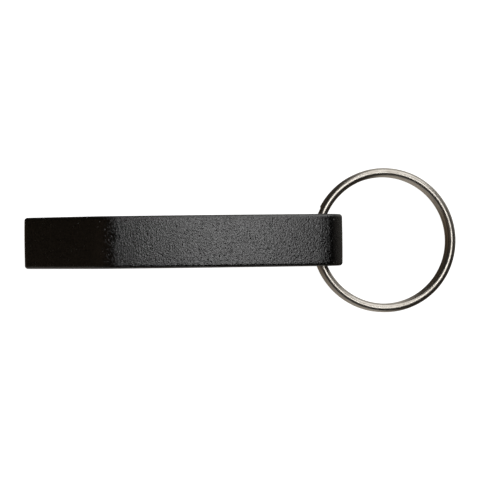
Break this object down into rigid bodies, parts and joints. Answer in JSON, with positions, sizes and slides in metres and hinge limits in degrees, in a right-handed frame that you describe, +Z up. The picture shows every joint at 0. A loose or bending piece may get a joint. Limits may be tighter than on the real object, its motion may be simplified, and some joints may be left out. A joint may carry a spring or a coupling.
{
  "type": "keychain bottle opener",
  "caption": "Claw-shaped keychain bottle opener: an arched black bar with a cap-lifting mouth and finger recess below, and a swinging split ring through its tail.",
  "frame": {"origin": "under the middle of the whole object at rest, on the surface that it lies on", "axes": "+X along the opener from its beak to the ring, +Y across the slice along the eye's bore, +Z up out of the arched back"},
  "size_m": [0.0842, 0.028, 0.013],
  "materials": {
    "black_anodised": "semi-gloss black coat over a tumbled, finely pebbled surface",
    "nickel_plated_wire": "bright nickel plate"
  },
  "bodies": {
    "opener": {"opener_body": "black_anodised"},
    "ring": {"split_ring": "nickel_plated_wire"}
  },
  "joints": [
    {"name": "ring_swing", "type": "hinge", "parent": "opener", "child": "ring", "pos_m": [0.01559, 0.0002, 0.00435], "axis": [0, 1, 0], "range_deg": [-160, 162]}
  ]
}
